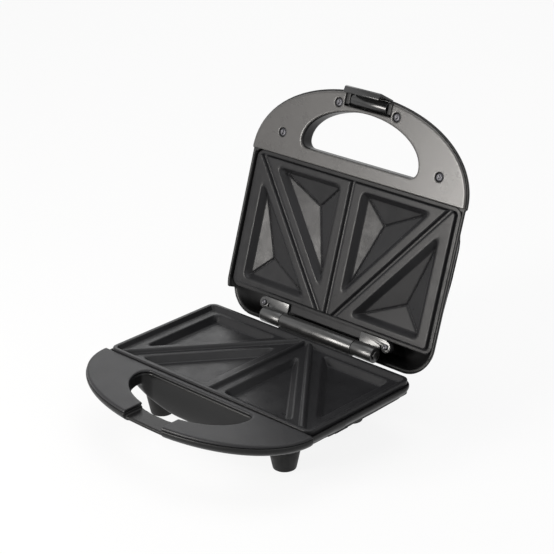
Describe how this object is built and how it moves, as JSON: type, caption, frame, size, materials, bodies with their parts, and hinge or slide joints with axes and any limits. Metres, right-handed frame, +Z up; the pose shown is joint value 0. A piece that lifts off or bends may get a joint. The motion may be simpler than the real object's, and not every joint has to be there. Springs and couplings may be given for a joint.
{
  "type": "sandwich toaster",
  "caption": "Hinged sandwich toaster with triangular pockets in both cooking plates, rounded grips with finger holes, a front latch and rubber feet, lid standing open.",
  "frame": {"origin": "centre of the bounding box of the open toaster, on the plane that its feet stand on", "axes": "+X along the hinge, +Y from the front grip to the hinge, +Z up"},
  "size_m": [0.229, 0.2724, 0.2497],
  "materials": {
    "casing_plastic": "satin",
    "base_cover_plastic": "satin",
    "lid_cover_plastic": "satin",
    "foot_rubber": "matte",
    "plate_coating": "non-stick coating, satin",
    "bright_sheet": "rolled sheet",
    "heater_steel": "drawn tube",
    "hinge_steel": "black enamel",
    "screw_steel": "dark plated",
    "inner_steel": "plated",
    "red_lens": "clear tinted",
    "green_lens": "clear tinted",
    "lamp_glass": "clear",
    "ceramic_block": "unglazed"
  },
  "bodies": {
    "base": {"base_shell": "casing_plastic", "base_handle_cover": "base_cover_plastic", "base_plate": "plate_coating", "base_element": "heater_steel", "base_reflector": "bright_sheet", "base_element_clamps": "screw_steel", "base_clamp_screws": "screw_steel", "base_plate_screws": "screw_steel", "base_handle_screws": "screw_steel", "foot_front_left": "foot_rubber", "foot_front_right": "foot_rubber", "foot_rear_left": "foot_rubber", "foot_rear_right": "foot_rubber", "hinge_bracket": "hinge_steel", "hinge_bracket_screws": "screw_steel", "hinge_pin": "hinge_steel", "cord_gland": "casing_plastic", "cord_clamp": "casing_plastic", "cord_clamp_screws": "screw_steel", "terminal_block": "ceramic_block", "terminal_block_screw": "screw_steel", "thermostat": "inner_steel", "thermal_fuse": "inner_steel"},
    "lid": {"lid_shell": "casing_plastic", "lid_handle_cover": "lid_cover_plastic", "lid_plate": "plate_coating", "lid_element": "heater_steel", "lid_reflector": "bright_sheet", "lid_element_clamps": "screw_steel", "lid_clamp_screws": "screw_steel", "lid_plate_screws": "screw_steel", "lid_handle_screws": "screw_steel", "hinge_knuckle_left": "hinge_steel", "hinge_knuckle_right": "hinge_steel", "hinge_knuckle_screws": "screw_steel", "power_lens": "red_lens", "ready_lens": "green_lens", "neon_lamps": "lamp_glass", "lamp_holder": "ceramic_block", "lamp_holder_screws": "screw_steel", "latch_pin": "hinge_steel"},
    "latch": {"latch": "casing_plastic"}
  },
  "joints": [
    {"name": "lid_hinge", "type": "hinge", "parent": "base", "child": "lid", "pos_m": [0, 0.06573, 0.05145], "axis": [1, 0, 0], "range_deg": [0, 107.5]},
    {"name": "latch_hinge", "type": "hinge", "parent": "lid", "child": "latch", "pos_m": [0, 0.13031, 0.2345], "axis": [1, 0, 0], "range_deg": [-25, 13]}
  ]
}
